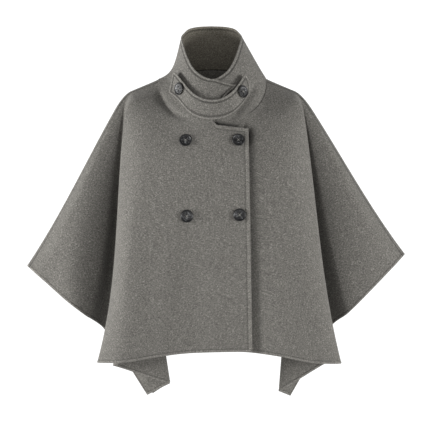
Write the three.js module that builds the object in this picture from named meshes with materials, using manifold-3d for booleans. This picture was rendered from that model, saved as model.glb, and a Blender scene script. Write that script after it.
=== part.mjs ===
// A wool cape coat as it hangs on a wearer, in millimetres: +Z up, the front towards -Y, and the
// origin at the middle of the neck opening, level with the shoulders that carry the weight.
// Two fronts that lap over each other, one back, a tall collar, a throat tab and six buttons.
// Left and right in the tables are a viewer's, in front of the cape. The pieces are named by the
// wearer's right and left.
import * as THREE from 'three';
import { mergeVertices } from 'three/addons/utils/BufferGeometryUtils.js';
import Module from 'manifold-3d';

const wasm = await Module();
wasm.setup();

// Driving sizes.
const CLOTH = 2.6; // thickness of the double-faced wool
const SEAM_GAP = 0.3; // between two pieces that are sewn together
const SEAM_TRIM = 0.2; // how far each half of an overarm seam is moved back from the other
const LAP = { step: 4.4, fadeFrom: 1.2, fadeTo: 2.4, columns: 5 }; // the upper front over the lower one
const LAP_LIFT = { height: 4, above: 0.15 }; // how far the free front edge stands proud of the chest
const FRONT_EDGE = { topX: 82.5, topZ: -136, hemX: 91.5 }; // free edge of the upper front
const UNDER_EDGE = { topX: 76, topZ: -126, hemX: 81 }; // hidden edge of the lower front
const NECK = { halfWidth: 129, front: 97, back: 74, sideZ: -12, frontZ: -115, backZ: 19 };
const NECK_CURVE = { dip: 1.3, rise: 1.7 }; // how fast the neck seam dips in front and rises behind
const RIM = { halfWidth: 71, front: 80, back: 60, shift: -3 };
const FLARE = { size: 31, reach: 0.16, from: 5, full: 60, until: 170 }; // the collar's foot, on its left
const COLLAR_LAP = { angle: 38, slant: 1.5, drop: 0.4, step: 4.2, fadeFrom: 0.1, fadeTo: 0.4 };
const SEAM_TURN = { front: 0.4, side: 0.8 }; // the collar starts higher where it turns from the body
const TAB = { from: 72, to: -55, leftWidth: 50, rightWidth: 41, low: -91, leftRise: 79, rightRise: 104 };
const TAB_EDGE = { foot: 0.015, middle: 8, ends: 11 }; // its upper edge stands off the collar
const TAB_END = { inset: 0.055, squareness: 0.9 }; // its rounded ends
const TAB_STEP = { before: 11, after: 9 }; // degrees it takes to step off the collar's end
const BUTTON = { radius: 15, rim: 2.4, thick: 4.2, dish: 1.3, holeRadius: 1.2, holeSpread: 6 };

// Height of the collar's rim, for each angle from the centre front.
const RIM_HEIGHTS = table(
  ['angle', 'z'],
  [
    [0, -17],
    [14, -11],
    [31, 4],
    [43, 21],
    [55, 43],
    [70, 70],
    [90, 91],
    [110, 102],
    [130, 115],
    [155, 122],
    [180, 124],
  ],
);

// Each row is one fall line of the cloth, from the centre out to the overarm seam. It leaves the
// neck at an angle, bends at its break on the shoulder or chest, and ends on the lower edge.
// Round is the length of cloth that bends at the break, below it and at most above it.
// A turn is a fold, and the number says how round it is. Each draw is how far the middle of the
// line is drawn in towards the body, and swell is how far it swells to the front or back.
const LINE_COLUMNS = [
  'name', 'neck', 'leftBreak', 'rightBreak', 'breakY', 'breakZ', 'round',
  'leftX', 'leftZ', 'rightX', 'rightZ', 'endY',
  'turn', 'leftDraw', 'rightDraw', 'swell',
];
const FRONT_LINES = table(LINE_COLUMNS, [
  ['centre', 0, 0, 0, -123, -235, 130, 0, -654, 0, -654, -144, 0, 0, 0, 0],
  ['inner', 24, 62, 62, -122, -226, 130, 74, -658, 74, -654, -141, 0, 0, 0, 0],
  ['bust', 42, 116, 116, -114, -198, 120, 142, -667, 150, -663, -145, 0, 0, 0, 0],
  ['side', 58, 165, 171, -91, -138, 95, 214, -679, 234, -679, -146, 0, 4, 2, 0],
  ['crest', 71, 205, 211, -41, -67, 50, 268.5, -680, 298.5, -682, -119, 0.55, 14, 9, 0],
  ['tuck', 75, 203, 210, -35, -63, 50, 152, -656, 184, -656, -94, 0.6, 4, 2, 0],
  ['second', 79, 206, 211, -28, -60, 48, 234, -692, 268, -685, -72, 0.55, 0, 0, 0],
  ['third', 82, 207, 212, -22, -57, 46, 103, -736, 157, -754, -50, 0.4, 0, 0, 0],
  ['corner', 85, 208, 212, -16, -54, 46, 156, -764, 184, -766, -36, 'corner', 0, 0, 0],
  ['under', 87, 209, 212, -10, -51, 46, 262, -609, 284, -604, 4, 0, 8, 8, 0],
  ['wing', 88, 212, 213, -7, -50, 46, 302, -576, 325, -567, -33, 0, 6, 6, 4],
  ['arm', 89, 214, 214, -5, -49, 46, 409, -488, 425, -466, -24, 0, 6, 6, 12],
  ['seam', 90, 214, 214, 0, -47, 46, 446, -458, 461, -430, 0, 0, 6, 6, 0],
]);
const BACK_LINES = table(LINE_COLUMNS, [
  ['centre', 0, 0, 0, 104, -128, 120, 0, -668, 0, -668, 146, 0, 0, 0, 0],
  ['inner', 24, 66, 66, 104, -124, 120, 78, -668, 80, -668, 152, 0, 0, 0, 0],
  ['blade', 42, 122, 122, 94, -116, 110, 146, -671, 152, -671, 138, 0, 0, 0, 0],
  ['side', 58, 165, 171, 72, -100, 90, 212, -678, 228, -680, 129, 0, 4, 2, 0],
  ['crest', 71, 199, 208, 37, -68, 60, 262, -684, 288, -686, 98, 0.55, 9, 5, 0],
  ['tuck', 75, 202, 210, 31, -63, 52, 160, -658, 190, -658, 80, 0.6, 4, 2, 0],
  ['second', 79, 206, 212, 26, -60, 48, 226, -690, 256, -684, 62, 0.55, 0, 0, 0],
  ['third', 82, 209, 213, 21, -56, 46, 105, -742, 166, -756, 46, 0.4, 0, 0, 0],
  ['corner', 85, 212, 214, 16, -53, 46, 146, -768, 190, -764, 38, 'corner', 0, 0, 0],
  ['under', 87, 210, 213, 10, -51, 46, 258, -603, 280, -596, 24, 0, 6, 6, 4],
  ['wing', 88, 213, 214, 7, -50, 46, 304, -568, 322, -558, 34, 0, 6, 6, 10],
  ['arm', 89, 214, 214, 5, -49, 46, 409, -486, 425, -464, 22, 0, 6, 6, 14],
  ['seam', 90, 214, 214, 0, -47, 46, 446, -458, 461, -430, 0, 0, 6, 6, 0],
]);

const ABOVE_BREAK = { ofRound: 0.45, ofStretch: 0.45 }; // how much of a line above its break bends
const PULL_PEAK = 6.75; // makes the draw and swell reach their size two thirds of the way down

// How many columns of faces lie between one fall line and the next, and the rows down each line.
const COLUMNS_BETWEEN = [2, 2, 3, 4, 5, 5, 5, 3, 4, 3, 3, 3];
const TURN_FROM = 0.12;
const TURN_TO = 0.36;
const ROWS = [
  0, 0.06, TURN_FROM, 0.16, 0.2, 0.24, 0.28, 0.32, TURN_TO, 0.43, 0.51, 0.6, 0.69, 0.79, 0.9, 1,
];

// Colours and finishes.
const WOOL = new THREE.MeshStandardMaterial({ color: 0x7b766c, roughness: 0.95, metalness: 0 });
const HORN = new THREE.MeshStandardMaterial({ color: 0x23242a, roughness: 0.25, metalness: 0 });

function table(columns, rows) {
  return rows.map((row) => Object.fromEntries(columns.map((name, i) => [name, row[i]])));
}

const vector = (x, y, z) => new THREE.Vector3(x, y, z);
const mix = THREE.MathUtils.lerp;
const radians = THREE.MathUtils.degToRad;
const smooth = THREE.MathUtils.smoothstep;

// A smooth curve through points, one for each whole number. A turn sets the heading there to the
// given direction, and a corner keeps the heading of each side.
function curveThrough(points, headings = []) {
  const last = points.length - 1;
  const chord = (k) => points[k + 1].distanceTo(points[k]) || 1;
  function heading(k, outgoing) {
    if (headings[k] === 'corner') {
      const [a, b] = outgoing ? [k, k + 1] : [k - 1, k];
      return points[b].clone().sub(points[a]).normalize();
    }
    if (headings[k]) return headings[k];
    const [a, b] = [Math.max(k - 1, 0), Math.min(k + 1, last)];
    const length = (k > 0 ? chord(k - 1) : 0) + (k < last ? chord(k) : 0);
    return points[b].clone().sub(points[a]).divideScalar(length);
  }
  return (u) => {
    const k = Math.min(Math.max(Math.floor(u), 0), last - 1);
    const t = u - k;
    const [t2, t3] = [t * t, t * t * t];
    return points[k]
      .clone()
      .multiplyScalar(2 * t3 - 3 * t2 + 1)
      .addScaledVector(heading(k, true), (t3 - 2 * t2 + t) * chord(k))
      .addScaledVector(points[k + 1], 3 * t2 - 2 * t3)
      .addScaledVector(heading(k + 1, false), (t3 - t2) * chord(k));
  };
}

// The seam between collar and body, by angle from the centre front; plus is towards +X.
function neckEdge(angle) {
  const a = radians(angle);
  const front = Math.cos(a) > 0;
  const depth = front ? NECK.front : NECK.back;
  const share = front ? 1 - (1 - Math.cos(a)) ** NECK_CURVE.dip : (-Math.cos(a)) ** NECK_CURVE.rise;
  const z = mix(NECK.sideZ, front ? NECK.frontZ : NECK.backZ, share);
  return vector(NECK.halfWidth * Math.sin(a), -depth * Math.cos(a), z);
}

// One face of the cape, front (-1) or back (1). Stations count from the left seam to the right.
function makeShell(lines, face) {
  const last = lines.length - 1;
  const stations = [];
  for (let k = -last; k <= last; k++) {
    const line = lines[Math.abs(k)];
    const side = k < 0 ? -1 : 1;
    const neck = face < 0 ? side * line.neck : 180 - side * line.neck;
    const [x, z] = k < 0 ? [line.leftX, line.leftZ] : [line.rightX, line.rightZ];
    stations.push({
      neck,
      bend: vector(side * (k < 0 ? line.leftBreak : line.rightBreak), line.breakY, line.breakZ),
      end: vector(side * x, line.endY, z),
      heading: line.turn > 0 ? vector(0, -side * face * line.turn, 0) : line.turn,
      round: line.round,
      pull: vector(-side * (k < 0 ? line.leftDraw : line.rightDraw), face * line.swell, 0),
    });
  }
  const neck = curveThrough(stations.map((s) => vector(s.neck, 0, 0)));
  const bend = curveThrough(stations.map((s) => s.bend));
  const end = curveThrough(stations.map((s) => s.end), stations.map((s) => s.heading));
  const pull = curveThrough(stations.map((s) => s.pull));
  const rounding = curveThrough(stations.map((s) => vector(s.round, 0, 0)));
  function point(u, v) {
    const s = u + last;
    const [from, turn, to] = [neckEdge(neck(s).x), bend(s), end(s)];
    const round = rounding(s).x;
    const above = Math.min(ABOVE_BREAK.ofRound * round, ABOVE_BREAK.ofStretch * from.distanceTo(turn));
    const before = turn.clone().add(from.clone().sub(turn).setLength(above));
    const after = turn.clone().add(to.clone().sub(turn).setLength(round));
    if (v < TURN_FROM) return from.lerp(before, v / TURN_FROM);
    if (v < TURN_TO) {
      const t = (v - TURN_FROM) / (TURN_TO - TURN_FROM);
      return before.lerp(turn, t).lerp(turn.clone().lerp(after, t), t);
    }
    const t = (v - TURN_TO) / (1 - TURN_TO);
    return after.lerp(to, t).addScaledVector(pull(s), PULL_PEAK * t * t * (1 - t));
  }
  return { point, last };
}

const front = makeShell(FRONT_LINES, -1);
const back = makeShell(BACK_LINES, 1);

// The way that the cloth faces at each point of a grid of columns.
function facing(grid, sign) {
  return grid.map((column, i) =>
    column.map((_, j) => {
      const across = grid[Math.min(i + 1, grid.length - 1)][j].clone().sub(grid[Math.max(i - 1, 0)][j]);
      const down = column[Math.min(j + 1, column.length - 1)].clone().sub(column[Math.max(j - 1, 0)]);
      return across.cross(down).normalize().multiplyScalar(sign);
    }),
  );
}

function moved(grid, normals, distance) {
  return grid.map((column, i) =>
    column.map((p, j) => p.clone().addScaledVector(normals[i][j], distance(i, j))),
  );
}

// A closed wall of cloth around a grid of points.
function wall(grid, normals, thickness) {
  const [columns, rows] = [grid.length, grid[0].length];
  const outer = moved(grid, normals, () => thickness / 2).flat();
  const inner = moved(grid, normals, () => -thickness / 2).flat();
  const places = [...outer, ...inner].flatMap((p) => [p.x, p.y, p.z]);
  const faces = [];
  const quad = (a, b, c, d) => faces.push(a, b, c, a, c, d);
  const at = (i, j) => i * rows + j;
  const below = outer.length;
  for (let i = 0; i + 1 < columns; i++) {
    for (let j = 0; j + 1 < rows; j++) {
      quad(at(i, j), at(i, j + 1), at(i + 1, j + 1), at(i + 1, j));
      quad(below + at(i, j), below + at(i + 1, j), below + at(i + 1, j + 1), below + at(i, j + 1));
    }
    const foot = rows - 1;
    quad(at(i, 0), at(i + 1, 0), below + at(i + 1, 0), below + at(i, 0));
    quad(at(i, foot), below + at(i, foot), below + at(i + 1, foot), at(i + 1, foot));
  }
  for (let j = 0; j + 1 < rows; j++) {
    const end = columns - 1;
    quad(at(0, j), below + at(0, j), below + at(0, j + 1), at(0, j + 1));
    quad(at(end, j), at(end, j + 1), below + at(end, j + 1), below + at(end, j));
  }
  return facingOut(places, faces);
}

// Turns the faces round if they enclose a negative volume.
function facingOut(places, faces) {
  const p = (k) => vector(...places.slice(3 * k, 3 * k + 3));
  let volume = 0;
  for (let k = 0; k < faces.length; k += 3) {
    volume += p(faces[k]).dot(p(faces[k + 1]).cross(p(faces[k + 2])));
  }
  if (volume < 0) {
    for (let k = 0; k < faces.length; k += 3) {
      [faces[k + 1], faces[k + 2]] = [faces[k + 2], faces[k + 1]];
    }
  }
  const geometry = new THREE.BufferGeometry();
  geometry.setAttribute('position', new THREE.Float32BufferAttribute(places, 3));
  return geometry.setIndex(faces);
}

function piece(name, geometry, material) {
  const mesh = new THREE.Mesh(geometry, material);
  mesh.name = name;
  return mesh;
}

// Station numbers of the columns from one fall line to another.
function stationsFrom(first, final) {
  const step = Math.sign(final - first);
  const list = [first];
  for (let k = first; k !== final; k += step) {
    const count = COLUMNS_BETWEEN[Math.min(Math.abs(k), Math.abs(k + step))];
    for (let i = 1; i <= count; i++) list.push(k + (step * i) / count);
  }
  return list;
}

// The point of the front's base surface at a given x and z.
function onFront(x, z, guess) {
  let [u, v] = guess;
  const tiny = 1e-4;
  for (let turn = 0; turn < 40; turn++) {
    const p = front.point(u, v);
    const du = front.point(u + tiny, v).sub(p).divideScalar(tiny);
    const dv = front.point(u, v + (v > 0.5 ? -tiny : tiny)).sub(p).divideScalar(v > 0.5 ? -tiny : tiny);
    const det = du.x * dv.z - dv.x * du.z;
    const [ex, ez] = [x - p.x, z - p.z];
    u += THREE.MathUtils.clamp((ex * dv.z - ez * dv.x) / det, -0.5, 0.5);
    v += THREE.MathUtils.clamp((ez * du.x - ex * du.z) / det, -0.1, 0.1);
    if (Math.hypot(ex, ez) < 1e-5) break;
  }
  return { point: front.point(u, v), u, v };
}

// Columns of a front that run past the centre to its own edge, on the given side.
function lapColumns(side, edge, count) {
  const middle = ROWS.map((v) => front.point(0, v));
  const [top, foot] = [middle[0].z, middle.at(-1).z];
  const columns = [];
  for (let i = 1; i <= count; i++) {
    const share = i / count;
    let guess = [0.5 * side, 0];
    columns.push(
      middle.map((p) => {
        const down = (top - p.z) / (top - foot);
        const x = side * share * mix(edge.topX, edge.hemX, down);
        const z = mix(mix(top, edge.topZ, share), front.point(side * share, 1).z, down);
        const found = onFront(x, z, guess);
        guess = [found.u, found.v];
        return found.point;
      }),
    );
  }
  return columns;
}

// Moves an end column back from the overarm seam, and gives it the seam's own facing.
function trimSeam(grid, normals, shell, side, column) {
  const other = shell === front ? back : front;
  ROWS.forEach((v, j) => {
    const u = side * shell.last;
    const seam = shell.point(u, v);
    const near = shell.point(u - side * 0.02, v).sub(seam);
    const far = other.point(u - side * 0.02, v).sub(seam);
    const along = shell.point(u, Math.min(v + 0.01, 1)).sub(shell.point(u, Math.max(v - 0.01, 0)));
    along.normalize();
    const apart = near.normalize().sub(far.normalize());
    apart.addScaledVector(along, -apart.dot(along)).normalize();
    const normal = apart.clone().cross(along).normalize();
    if (normal.dot(normals[column][j]) < 0) normal.negate();
    normals[column][j].copy(normal);
    grid[column][j] = seam.addScaledVector(apart, SEAM_TRIM);
  });
}

// A front, with its lap past the centre. Upper is 1 for the front on top and -1 for the one below.
function makeFront(name, side, edge, upper) {
  const stations = stationsFrom(side * front.last, 0);
  const lap = lapColumns(-side, edge, LAP.columns);
  const base = [...stations.map((u) => ROWS.map((v) => front.point(u, v))), ...lap];
  const step = (i, j) => {
    const station = Math.abs(stations[i] ?? 0);
    const lapped = 1 - smooth(station, LAP.fadeFrom, LAP.fadeTo);
    const beyond = Math.max(0, (i - stations.length + 1) / lap.length);
    const down = Math.min(1, ROWS[j] + LAP_LIFT.above);
    const lift = upper > 0 ? LAP_LIFT.height * beyond ** 3 * Math.sin(Math.PI * down) : 0;
    return (upper * LAP.step * lapped) / 2 + lift;
  };
  const middle = moved(base, facing(base, side), step);
  const normals = facing(middle, side);
  trimSeam(middle, normals, front, side, 0);
  return piece(name, wall(middle, normals, CLOTH), WOOL);
}

function makeBack(name) {
  const grid = stationsFrom(-back.last, back.last).map((u) => ROWS.map((v) => back.point(u, v)));
  const normals = facing(grid, 1);
  trimSeam(grid, normals, back, -1, 0);
  trimSeam(grid, normals, back, 1, grid.length - 1);
  return piece(name, wall(grid, normals, CLOTH), WOOL);
}

// The collar's surface: around by angle from the centre front (plus is towards -X), up by share.
const rimHeight = curveThrough(RIM_HEIGHTS.map((row) => vector(row.angle, row.z, 0)));
const wrapped = (angle) => (angle > 180 ? angle - 360 : angle);
function rimZ(angle) {
  const a = Math.abs(wrapped(angle));
  let [low, high] = [0, RIM_HEIGHTS.length - 1];
  for (let turn = 0; turn < 40; turn++) {
    const half = (low + high) / 2;
    if (rimHeight(half).x < a) low = half;
    else high = half;
  }
  return rimHeight(low).y;
}
function collarPoint(angle, share) {
  const a = radians(angle);
  const depth = Math.cos(a) > 0 ? RIM.front : RIM.back;
  const rim = vector(RIM.shift - RIM.halfWidth * Math.sin(a), -depth * Math.cos(a), rimZ(angle));
  const left = wrapped(angle);
  const behind = smooth(left, 90, FLARE.until);
  const flare = FLARE.size * smooth(left, FLARE.from, FLARE.full) * (1 - behind);
  const drawn = flare * (1 - share) * (1 - Math.exp(-share / FLARE.reach));
  return neckEdge(-angle).lerp(rim, share).add(vector(drawn, 0, 0));
}
const collarFacing = (angle, share) => {
  const around = collarPoint(angle + 0.5, share).sub(collarPoint(angle - 0.5, share));
  const up = collarPoint(angle, share + 0.02).sub(collarPoint(angle, share - 0.02));
  return around.cross(up).normalize().negate();
};

// The share of the collar's height at which it starts, clear of the seam.
function seamShare(angle) {
  const tiny = 1e-3;
  const a = radians(angle);
  const turn = SEAM_TURN.front * Math.max(Math.cos(a), 0) + SEAM_TURN.side * Math.sin(a) ** 2;
  return (tiny * (SEAM_GAP + turn)) / collarPoint(angle, tiny).distanceTo(collarPoint(angle, 0));
}

const COLLAR_COLUMNS = 56;
const COLLAR_ROWS = [0, 0.09, 0.2, 0.42, 0.7, 1]; // shares of its height
function makeCollar(name) {
  const grid = [];
  const steps = [];
  const { step, fadeFrom, fadeTo } = COLLAR_LAP;
  for (let i = 0; i <= COLLAR_COLUMNS; i++) {
    const along = i / COLLAR_COLUMNS;
    const column = [];
    for (const row of COLLAR_ROWS) {
      const height = Math.max(row, seamShare(mix(0, 360, along)));
      const lap = COLLAR_LAP.angle * height ** COLLAR_LAP.slant;
      const angle = mix(-lap, 360 + lap, along);
      const beyond = Math.max(-angle, angle - 360, 0) / COLLAR_LAP.angle;
      column.push([angle, height * (1 - COLLAR_LAP.drop * smooth(beyond, 0, 1.2))]);
    }
    grid.push(column);
    const faded = smooth(along, fadeFrom, fadeTo) + smooth(along, 1 - fadeTo, 1 - fadeFrom);
    steps.push((step / 2) * (1 - faded));
  }
  const points = grid.map((c) => c.map(([a, h]) => collarPoint(a, h)));
  const facings = grid.map((c) => c.map(([a, h]) => collarFacing(a, h)));
  const middle = moved(points, facings, (i) => steps[i]);
  return piece(name, wall(middle, facings, CLOTH), WOOL);
}

// The throat tab's surface: along from the left end (0) to the right end (1), and across from its
// lower edge (0) to its upper edge (1).
function tabPoint(along, across) {
  const angle = mix(TAB.from, TAB.to, along);
  const ends = (2 * along - 1) ** 2;
  const rise = (angle > 0 ? TAB.leftRise : TAB.rightRise) * Math.sin(radians(angle)) ** 2;
  const [foot, rim] = [neckEdge(-angle).z, rimZ(angle)];
  const width = mix(TAB.leftWidth, TAB.rightWidth, along);
  const share = Math.max((TAB.low + rise + (across - 0.5) * width - foot) / (rim - foot), TAB_EDGE.foot);
  const overEnd = 1 - smooth(-angle, COLLAR_LAP.angle - TAB_STEP.before, COLLAR_LAP.angle + TAB_STEP.after);
  const rest = COLLAR_LAP.step * (overEnd - 0.5) + CLOTH + SEAM_GAP;
  const away = rest + across * mix(TAB_EDGE.middle, TAB_EDGE.ends, ends);
  return collarPoint(angle, share).addScaledVector(collarFacing(angle, share), away);
}
function tabFacing(along, across) {
  const near = THREE.MathUtils.clamp(along, 0.01, 0.99);
  const around = tabPoint(near + 0.01, across).sub(tabPoint(near - 0.01, across));
  const up = tabPoint(near, across + 0.05).sub(tabPoint(near, across - 0.05));
  return around.cross(up).normalize();
}
const TAB_FACES = { columns: 30, rows: 4 };
function makeTab(name) {
  const { columns, rows } = TAB_FACES;
  const grid = [];
  for (let i = 0; i <= columns; i++) {
    const even = i / columns;
    const column = [];
    for (let j = 0; j <= rows; j++) {
      const across = j / rows;
      const inset = TAB_END.inset * (1 - Math.sqrt(1 - TAB_END.squareness * (2 * across - 1) ** 2));
      column.push([mix(inset, 1 - inset, even), across]);
    }
    grid.push(column);
  }
  const points = grid.map((c) => c.map(([a, b]) => tabPoint(a, b)));
  const facings = grid.map((c) => c.map(([a, b]) => tabFacing(a, b)));
  return piece(name, wall(points, facings, CLOTH), WOOL);
}

// A closed geometry as a solid that can be cut, and back.
function solid(geometry) {
  const bare = geometry.clone();
  bare.deleteAttribute('normal');
  bare.deleteAttribute('uv');
  const merged = mergeVertices(bare, 1e-4);
  return new wasm.Manifold(
    new wasm.Mesh({
      numProp: 3,
      vertProperties: new Float32Array(merged.attributes.position.array),
      triVerts: new Uint32Array(merged.index.array),
    }),
  );
}
function geometryOf(made) {
  const mesh = made.getMesh();
  const geometry = new THREE.BufferGeometry();
  geometry.setAttribute('position', new THREE.Float32BufferAttribute(mesh.vertProperties, 3));
  return geometry.setIndex(new THREE.BufferAttribute(mesh.triVerts, 1));
}

// A four-hole button with a raised rim and a dished middle, its back on z = 0.
const BUTTON_SIDES = 20;
function buttonGeometry() {
  const { radius, rim, thick, dish, holeRadius, holeSpread } = BUTTON;
  const profile = [
    [0, 0],
    [radius - 3, 0],
    [radius - 0.6, 1.2],
    [radius, 2.2],
    [radius - 0.7, thick - 0.5],
    [radius - 1.6, thick],
    [radius - rim, thick - 0.4],
    [radius - rim - 1.4, thick - dish],
    [0, thick - dish - 0.3],
  ].map(([x, y]) => new THREE.Vector2(x, y));
  const disc = new THREE.LatheGeometry(profile, BUTTON_SIDES).rotateX(Math.PI / 2);
  let made = solid(disc);
  if (made.volume() < 0) throw new Error('the button is inside out');
  for (const [x, y] of [[1, 1], [1, -1], [-1, 1], [-1, -1]]) {
    const hole = new THREE.CylinderGeometry(holeRadius, holeRadius, 3 * thick, 6).rotateX(Math.PI / 2);
    hole.translate((x * holeSpread) / 2, (y * holeSpread) / 2, 0);
    made = made.subtract(solid(hole));
  }
  return geometryOf(made);
}

// Sews a button on: it faces as the cloth, and is raised until it clears the cloth by a seam gap.
function makeButton(name, geometry, point, normal, cloth) {
  const mesh = piece(name, geometry, HORN);
  mesh.quaternion.setFromUnitVectors(vector(0, 0, 1), normal);
  for (let height = 0; height < 8; height += 0.1) {
    mesh.position.copy(point).addScaledVector(normal, height);
    mesh.updateMatrix();
    const placed = solid(geometry.clone().applyMatrix4(mesh.matrix));
    if (placed.intersect(cloth).volume() < 1e-6) break;
  }
  mesh.position.addScaledVector(normal, SEAM_GAP);
  return mesh;
}

const FRONT_BUTTONS = table(
  ['name', 'x', 'z'],
  [
    ['button_upper_right', -63, -163],
    ['button_upper_left', 59, -162],
    ['button_lower_right', -60, -339],
    ['button_lower_left', 62, -336],
  ],
);
const TAB_BUTTONS = table(
  ['name', 'along', 'across'],
  [
    ['button_tab_right', 0.145, 0.5],
    ['button_tab_left', 0.885, 0.5],
  ],
);

function makeButtons(frontPiece, tabPiece) {
  const geometry = buttonGeometry();
  const [coat, tab] = [solid(frontPiece.geometry), solid(tabPiece.geometry)];
  const onCoat = FRONT_BUTTONS.map(({ name, x, z }) => {
    const { u, v, point } = onFront(x, z, [Math.sign(x), 0.3]);
    const across = front.point(u + 0.2, v).sub(front.point(u - 0.2, v));
    const down = front.point(u, v + 0.03).sub(front.point(u, v - 0.03));
    return makeButton(name, geometry, point, across.cross(down).normalize().negate(), coat);
  });
  const onTab = TAB_BUTTONS.map(({ name, along, across }) =>
    makeButton(name, geometry, tabPoint(along, across), tabFacing(along, across), tab),
  );
  return [...onCoat, ...onTab];
}

const rightFront = makeFront('front_right', -1, FRONT_EDGE, 1);
const tab = makeTab('throat_tab');
const cape = new THREE.Group();
cape.add(
  rightFront,
  makeFront('front_left', 1, UNDER_EDGE, -1),
  makeBack('back'),
  makeCollar('collar'),
  tab,
  ...makeButtons(rightFront, tab),
);

export default cape;
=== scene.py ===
"""A grey wool cape coat as it hangs on a wearer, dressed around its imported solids.

Sizes are in millimetres, and MM turns them into metres. Left and right in the tables are a
viewer's, in front of the cape. The pieces are named by the wearer's right and left.
"""

import math

import bmesh
import bpy
import numpy as np
from mathutils import Matrix, Vector


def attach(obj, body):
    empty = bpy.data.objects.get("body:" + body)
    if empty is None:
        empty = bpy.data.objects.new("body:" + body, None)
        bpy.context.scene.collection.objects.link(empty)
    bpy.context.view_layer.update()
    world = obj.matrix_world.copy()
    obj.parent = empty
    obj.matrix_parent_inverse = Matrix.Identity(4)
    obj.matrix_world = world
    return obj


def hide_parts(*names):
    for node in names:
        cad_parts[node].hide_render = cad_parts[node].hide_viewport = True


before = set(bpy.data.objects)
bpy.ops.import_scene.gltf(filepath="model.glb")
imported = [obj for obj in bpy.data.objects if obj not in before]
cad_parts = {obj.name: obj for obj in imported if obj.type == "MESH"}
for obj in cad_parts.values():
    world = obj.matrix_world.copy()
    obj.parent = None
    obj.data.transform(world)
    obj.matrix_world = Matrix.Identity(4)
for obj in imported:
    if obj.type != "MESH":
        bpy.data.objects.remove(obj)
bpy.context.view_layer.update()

MM = 0.001
UP = np.array((0.0, 0, 1))

# The cloth, what of the collar is sewn into the body, and the play between pieces that lie together.
CLOTH = 2.6
SEAM_IN = 1.1
SEAM_GAP = 0.3

# The neck seam, and the curve of its height round the neck.
NECK = {"half_width": 129, "front": 97, "back": 74, "side_z": -12, "front_z": -115, "back_z": 19}
NECK_CURVE = {"dip": 1.3, "rise": 1.7}

# The cloth beside the neck seam is filled out over it and drawn into a soft valley, by more or less
# on a viewer's left and right. The angles are from the centre front, as between() takes them, and
# AT_FOOT is the share up the collar at which its facing there is read.
SEAM_DENT = {"depth": 0.6, "on_left": 6.4, "on_right": 0, "body": 12, "collar": 6,
             "angles": (18, 36, 66, 84)}
SEAM_FILL = {"on_left": 1.9, "on_right": 1.8, "reach": 12, "up": 0.8, "angles": (14, 45, 84, 120)}
AT_FOOT = 0.01

# Where the fronts cross: the step from one to the other, which fades by station, about how many
# stations they run past the centre, how the upper one's free edge lifts, and how the lower one sinks
# beside that edge and under the upper one's top edge.
LAP = {"step": 4.4, "fade_from": 1.2, "fade_to": 2.4, "stations": 2, "fewer_below": 0.7}
LAP_LIFT = {"height": 4.0, "above": 0.15, "at_ends": 0.4}
SINK = {"depth": 5.5, "top_depth": 22, "width": 14, "spread": 14, "hem": 654, "under": (12, 70),
        "top_reach": (8, 40), "top_from": (-30, -8), "above": (3, 8), "seam": 2.5}
# Painted shadow on the lower front in the gap under the upper front's top edge: its height above that edge,
# how it fades off that line, and how it ends past the given spans of x on the right and on the left.
CREASE_SHADOW = {"above": 1, "fade": 0.1, "far": 9, "on_right": (70, 84), "on_left": (0, 20)}

# The free edges past the centre. The upper front's top edge drops at its notch.
FRONT_EDGE = {"top_x": 82.5, "top_z": -134.5, "hem_x": 91.5, "notch": 9}
UNDER_EDGE = {"top_x": 76, "top_z": -126, "hem_x": 81, "notch": 0}
NOTCH_LENGTH = 9

# Wide soft flutes of the hanging front: the heights between which they grow, then the middle, width
# and size of each. They stand closer together at the top, and the side folds have none.
FLUTES = [((250, 640), [(-120, 42, 5), (-52, 32, -4), (20, 40, 1), (150, 30, 4), (205, 26, -4),
                        (262, 18, 3)]),
          ((170, 480), [(-225, 85, 16), (-335, 42, 11)])]
FLUTES_AT_TOP = 0.8
FLUTES_LEFT_OUT = (2.9, 4, 9.3, 10.3)

# The collar: its rim, its flare to a viewer's left, and how its ends lap over in front.
RIM = {"half_width": 71, "front": 80, "back": 60, "shift": -3}
RIM_HEIGHTS = [(0, -17), (14, -11), (31, 4), (43, 21), (55, 43), (70, 70), (90, 91), (110, 102), (130, 115),
               (155, 122), (180, 124)]
FLARE = {"size": 31, "reach": 0.16, "angles": (5, 60, 90, 170)}
COLLAR_LAP = {"angle": 38, "slant": 1.5, "drop": 0.4, "drop_over": 1.2, "step": 4.2, "fade": (0.1, 0.4)}
COLLAR_LIFT = {"height": 3.5, "angles": (12, 38), "above_tab": (10, 45)}

# The throat tab: its ends by angle, its widths and the rise of its middle line, how far its edges
# stand off the collar, its rounded ends, the step over the collar's end, and the shade at its foot.
TAB = {"start": 72, "end": -55, "left_width": 50, "right_width": 41, "low": -91,
       "left_rise": 79, "right_rise": 104}
TAB_EDGE = {"foot": 0.015, "middle": 8, "ends": 11}
TAB_END = {"inset": 0.055, "squareness": 0.9}
TAB_STEP = {"before": 11, "after": 9}
TAB_SHADE = {"depth": 7, "below": 4, "width": 12, "angles": (12, 30, 58, 74)}

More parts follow.
